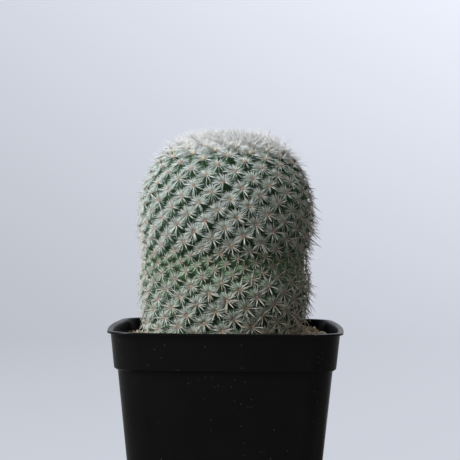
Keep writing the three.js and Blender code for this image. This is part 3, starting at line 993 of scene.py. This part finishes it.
def skin_material():
    material, tree = new_material("cactus_skin")
    green = blend(tree, mottle(tree, 260, 4.0), *SKIN_GREENS)
    # painted shade: the skin darkens towards the grooves between the tubercles
    groove_painted_shade = blend(tree, fade(tree, "groove", 0.35, 1.0), green, GROOVE_PAINTED_SHADE)
    dusted = blend(tree, specks(tree, 2600, 0.25, 0.3), groove_painted_shade, SKIN_DUST)
    bare = blend(tree, fade(tree, "waist", 0.0, 1.0), dusted, WAIST_GREEN)
    wool = blend(tree, mottle(tree, 2400, 5.0, 0.35, 0.65), *WOOL_WHITES)
    woolly = blend(tree, fade(tree, "crown", 0.34, 0.5), bare, wool)
    return finish(material, Base_Color=woolly, Roughness=0.55, Specular_IOR_Level=0.35,
                  Normal=relief(tree, mottle(tree, 1800, 3.0), 0.3, 0.1 * MM))


dress(build_flesh(), skin_material(), "cactus_skin", "stem")

# %% [markdown]
# ## Areoles
# Each tubercle ends in an areole, a small cushion of felt that the spines grow from. It is tan on the
# grown tubercles, bigger and golden in the first rows under the crown, and pale on the crown itself.
# One low ball is modelled and copied.

# %% Areole felt
FELT_RADIUS = 0.5 * MM
FELT_LEAST = 0.4 * MM
FELT_SPACING = 6 * MM
FELT_GROWTH = ((0, 0.1, 0.3, 0.5), (1, 1.9, 1.9, 1.3))
FELT_HEIGHT = 0.8
FELT_TANS = ((0.31, 0.235, 0.18), (0.45, 0.36, 0.29))
FELT_GOLD = (0.66, 0.565, 0.43)
FELT_PALE = (0.66, 0.62, 0.54)


def build_felt():
    bpy.ops.mesh.primitive_uv_sphere_add(segments=9, ring_count=6, radius=1)
    ball = take_shape("areole")
    axis, east, k = (tubercles[key] for key in ("axis", "east", "k"))
    radius = np.clip(FELT_RADIUS * tubercles["spacing"] / FELT_SPACING, FELT_LEAST, FELT_RADIUS)
    radius = radius * np.interp(tubercles["crown"], *FELT_GROWTH)
    frames = np.stack([east, np.cross(axis, east), FELT_HEIGHT * axis], -1) * radius[:, None, None]
    return place_copies("areole_felt", [ball], 0 * k, frames, tubercles["point"],
                        tone=scatter(k, 21)[:, None], youth=tubercles["youth"][:, None],
                        crown=tubercles["crown"][:, None])


def felt_material():
    material, tree = new_material("areole_felt")
    tan = blend(tree, attribute(tree, "tone"), *FELT_TANS)
    golden = blend(tree, fade(tree, "crown", 0.1, 0.3), tan, FELT_GOLD)
    colour = blend(tree, fade(tree, "youth", 0.0, 0.3), golden, FELT_PALE)
    return finish(material, Base_Color=colour, Roughness=0.95, Specular_IOR_Level=0.1,
                  Normal=relief(tree, mottle(tree, 5000, 3.0), 0.8, 0.1 * MM))


dress(build_felt(), felt_material(), "cactus_skin")

# %% [markdown]
# ## Spines
# Two kinds grow from each areole. Six to nine stout central spines stand out from the stem like a
# star, brown where they leave the felt and cream beyond. They are short and thin on young tubercles and
# at the waist, longer on the right, and upright on the crown. Around them lie some seventy fine radial
# spines, white as chalk, in a dense fan above the areole and singly below it. They lace into their
# neighbours', which gives the plant its haze. They are few at the waist and on the right, greyer low
# down, and finer and denser on the crown. Hair curves would be quick, but they are lost on export, so
# each kind is one small tapered needle, modelled once, and every copy gets its own length, lean, bend
# and tone.

# %% One needle, and how it grows
def needle_shape(name, sides, rings):
    """A needle of unit length and unit radius, drawn out of a small polygon to a point."""
    bpy.ops.mesh.primitive_circle_add(vertices=sides, radius=1, fill_type="NGON")
    edit(bpy.context.object)
    draw_out(rings + ((0.05, 1.0),), 1)
    bpy.ops.mesh.merge(type="CENTER")
    close_edit()
    return take_shape(name)


def grow(name, shape, areole, angle, splay, length, radius, bend, start, tones):
    """Needles from areoles: angle is round the areole, splay away from its axis, bend at the tip."""
    axis, east = (tubercles[key][areole] for key in ("axis", "east"))
    north = np.cross(axis, east)
    around = east * np.cos(angle)[:, None] + north * np.sin(angle)[:, None]
    cos, sin = np.cos(splay)[:, None], np.sin(splay)[:, None]
    along = axis * cos + around * sin
    droop = around * cos - axis * sin
    across = np.cross(along, droop)
    root = tubercles["point"][areole] + around * start[:, None]
    points, faces = shape
    x, y, z = points.T
    copies = (root[:, None]
              + droop[:, None] * (x * radius[:, None] + (bend * length)[:, None] * z**2)[..., None]
              + across[:, None] * (y * radius[:, None])[..., None]
              + along[:, None] * (z * length[:, None])[..., None])
    return join_copies(name, copies, faces, along=z, tone=tones[:, None],
                       crown=tubercles["crown"][areole, None])


STOUT = needle_shape("central spine", sides=4, rings=((0.92, 0.3), (0.62, 0.7)))
FINE = needle_shape("radial spine", sides=3, rings=((0.85, 0.7),))

# %% What both kinds of spine share
SPINE_SPACING = 6.3 * MM
CROWN_SHOULDER = ((0, 0.3, 0.45, 0.6, 0.75, 1), (1, 1, 1.2, 1.2, 0.95, 0.62))
CROWN_SKEW = 0.15
CROWN_RIGHT = 16 * MM
YOUNG_SPINE = (0.93, 0.93, 0.94)
TOPMOST_PAINTED_SHADE = (0.69, 0.69, 0.70)
OLD_SPINE = (0.36, 0.31, 0.26)


def crown_length(areole):
    """The crown's spines are longest on its shoulder and on its right, as a factor."""
    crown = tubercles["crown"][areole]
    right = np.clip(tubercles["point"][areole, 0] / CROWN_RIGHT, -0.3, 1)
    return np.interp(crown, *CROWN_SHOULDER) * (1 + CROWN_SKEW * right * np.clip(3 * crown, 0, 1))


def spread_over(counts):
    """The areole of each spine, its number there, and how many its areole has."""
    areole = np.repeat(np.arange(len(counts)), counts)
    first = np.cumsum(counts) - counts
    return areole, np.arange(len(areole)) - first[areole], counts[areole]


def spine_material(name, foot, shaft, tip, reach, variety):
    """Coloured along each spine, from its foot through its shaft to its tip, paler on the crown, and greyer
    on the very top of the crown, a painted shade.
    """
    material, tree = new_material(name)
    shown = blend(tree, fade(tree, "along", 0.04, reach), foot, shaft)
    colour = blend(tree, fade(tree, "along", 0.75, 1.0), shown, tip)
    young = blend(tree, fade(tree, "crown", 0.16, 0.4), colour, YOUNG_SPINE)
    # painted shade: the topmost spines of the crown are darker, against the light from above
    top_painted_shade = blend(tree, fade(tree, "crown", 0.46, 0.78), young, TOPMOST_PAINTED_SHADE)
    shade = calculate(tree, "MULTIPLY", attribute(tree, "tone"), variety)
    toned = blend(tree, shade, top_painted_shade, OLD_SPINE)
    return finish(material, Base_Color=toned, Roughness=0.6, Specular_IOR_Level=0.3)


print("on its shoulder the crown has spines", max(CROWN_SHOULDER[1]), "times as long")

# %% Central spines
CENTRAL_LENGTH = 4.6 * MM
CENTRAL_GROWTH = ((0.12, 0.5), (0.42, 1))
CENTRAL_GIRTH = ((0.12, 0.5), (0.72, 1))
CENTRAL_RADIUS = 0.16 * MM
CENTRAL_CROWN = 1.0
CENTRAL_SKEW = 0.24
CENTRAL_COUNTS = (6, 7, 7, 8, 9)
CENTRAL_ON_TOP = 4
CENTRAL_TOP = 0.65
CENTRAL_SPLAY = 70
CENTRAL_CLOSING = 75
CENTRAL_VARIED = (0.75, 1.15)
CENTRAL_UNEVEN = (0.16, 8)
CENTRAL_SEED = 11


def build_centrals():
    draw = np.random.default_rng(CENTRAL_SEED)
    many = np.where(tubercles["crown"] > CENTRAL_TOP, CENTRAL_ON_TOP,
                    draw.choice(CENTRAL_COUNTS, len(tubercles["crown"])))
    areole, number, total = spread_over(many)
    count = len(areole)
    crown = tubercles["crown"][areole]
    size = np.clip(tubercles["spacing"][areole] / SPINE_SPACING, 0.5, 1)
    grown = np.clip((STEM_TOP - tubercles["height"][areole]) / (STEM_TOP - SOIL_TOP), 0, 1)
    angle = 2 * np.pi * (number + scatter(areole, 31)) / total + draw.normal(0, CENTRAL_UNEVEN[0], count)
    splay = (CENTRAL_SPLAY - CENTRAL_CLOSING * np.clip(crown, 0, 0.75)
             + draw.normal(0, CENTRAL_UNEVEN[1], count))
    length = (CENTRAL_LENGTH * np.interp(grown, *CENTRAL_GROWTH) * draw.uniform(*CENTRAL_VARIED, count)
              * size**1.5 * crown_length(areole) * (1 + CENTRAL_CROWN * np.clip(3 * crown - 0.5, 0, 1))
              * (1 + CENTRAL_SKEW * tubercles["point"][areole, 0] / STEM_RADIUS))
    radius = (CENTRAL_RADIUS * np.interp(grown, *CENTRAL_GIRTH) * draw.uniform(0.8, 1.15, count)
              * (0.7 + 0.3 * size) * (1 - 0.35 * tubercles["bare"][areole]))
    return grow("spines_central", STOUT, areole, angle, np.radians(splay), length, radius,
                bend=draw.uniform(-0.05, 0.07, count), start=np.full(count, 0.15 * MM),
                tones=draw.uniform(0, 1, count))


central_finish = spine_material("central_spine", foot=(0.33, 0.225, 0.165), shaft=(0.75, 0.70, 0.62),
                                tip=(0.70, 0.66, 0.59), reach=0.5, variety=0.3)
dress(build_centrals(), central_finish, "cactus_skin")

# %% Radial spines
RADIALS = 76
LOW_RADIALS = 66
LOW_HEIGHT = POT_HEIGHT + 27 * MM
RADIAL_LENGTH = 3.95 * MM
RADIAL_RADIUS = 0.072 * MM
RADIAL_UPWARD = 0.79
RADIAL_TURN = 0.38
LOWER_STOUTNESS = 0.14
LOWER_REACH = 0.15
LOOSENESS = 9
RADIAL_SEED = 23
RADIAL_VARIED = (0.7, 1.15, 1.0)
RADIAL_SPLAY = 96
CROWN_CLOSING = 50
WAIST_BARENESS = 0.78
RIGHT_BARENESS = 0.6
CROWN_SPREAD = 0.9
CROWN_RADIALS = 190
CROWN_LENGTH = 3.7 * MM
CROWN_RADIUS = 0.055 * MM
CROWN_VARIED = (0.5, 1.45, 2.2)


def radial_angles(number, total, areole, draw):
    """Round the areole: a dense fan above it over the groove, and single spines below it."""
    even = 2 * np.pi * (number + scatter(areole, 41)) / total + draw.normal(0, 0.06, len(areole))
    angle = np.linspace(0, 2 * np.pi, 400)
    passed = angle + RADIAL_UPWARD * (1 - np.cos(angle))
    return np.interp(even % (2 * np.pi), passed, angle) + RADIAL_TURN


def radial_counts(chosen, most):
    """How many radial spines each chosen areole has: fewer on small tubercles and where it is bare."""
    size = np.clip(tubercles["spacing"] / SPINE_SPACING, 0, 1)
    right = np.clip(tubercles["point"][:, 0] / STEM_RADIUS, 0, 1) ** 2
    full = (np.where(tubercles["crown"] > 0.2, 1, 0.05 + 0.95 * size**3)
            * (1 - WAIST_BARENESS * tubercles["bare"]) * (1 - RIGHT_BARENESS * right))
    return np.where(chosen, np.round(most * full), 0).astype(int)


def build_radials(name, chosen, most, length, radius, varied, seed):
    draw = np.random.default_rng(seed)
    areole, number, total = spread_over(radial_counts(chosen, most))
    count = len(areole)
    spacing = tubercles["spacing"][areole]
    size = np.clip(spacing / SPINE_SPACING, 0, 1)
    young = np.clip((tubercles["crown"][areole] - 0.12) / 0.88, 0, 1) ** 0.7
    angle = radial_angles(number, total, areole, draw)
    upper = np.sin(angle) * (1 - young)
    splay = (RADIAL_SPLAY - 2 * np.sin(angle) - CROWN_CLOSING * young
             - draw.exponential(LOOSENESS, count) + draw.normal(0, 1, count) * (5 + 20 * young))
    *limits, power = varied
    length = (length * between(limits, draw.uniform(0, 1, count) ** power)
              * (size**1.7 * (1 - young) + young) * crown_length(areole) * (1 - LOWER_REACH * upper))
    radius = radius * (1 - LOWER_STOUTNESS * upper) * draw.uniform(0.8, 1.2, count)
    start = 0.3 * MM + CROWN_SPREAD * young * spacing * draw.uniform(0, 1, count)
    return grow(name, FINE, areole, angle, np.radians(splay), length, radius,
                bend=draw.uniform(-0.02, 0.10, count), start=start, tones=draw.uniform(0, 1, count))


white = spine_material("radial_spine", foot=(0.60, 0.56, 0.50), shaft=(0.74, 0.815, 0.785),
                       tip=(0.74, 0.805, 0.775), reach=0.2, variety=0.15)
greyer = spine_material("older_radial_spine", foot=(0.52, 0.48, 0.41), shaft=(0.73, 0.83, 0.76),
                        tip=(0.72, 0.81, 0.74), reach=0.25, variety=0.4)
on_crown = tubercles["crown"] > 0.35
low_down = tubercles["height"] < LOW_HEIGHT
ON_SIDES = (RADIAL_LENGTH, RADIAL_RADIUS, RADIAL_VARIED)
ON_CROWN = (CROWN_LENGTH, CROWN_RADIUS, CROWN_VARIED)
radial_pieces = (
    ("spines_radial_low", ~on_crown & low_down, LOW_RADIALS, ON_SIDES, greyer),
    ("spines_radial_high", ~on_crown & ~low_down, RADIALS, ON_SIDES, white),
    ("spines_crown", on_crown, CROWN_RADIALS, ON_CROWN, white),
)
for n, (name, chosen, most, form, coat) in enumerate(radial_pieces):
    dress(build_radials(name, chosen, most, *form, RADIAL_SEED + n), coat, "cactus_skin")
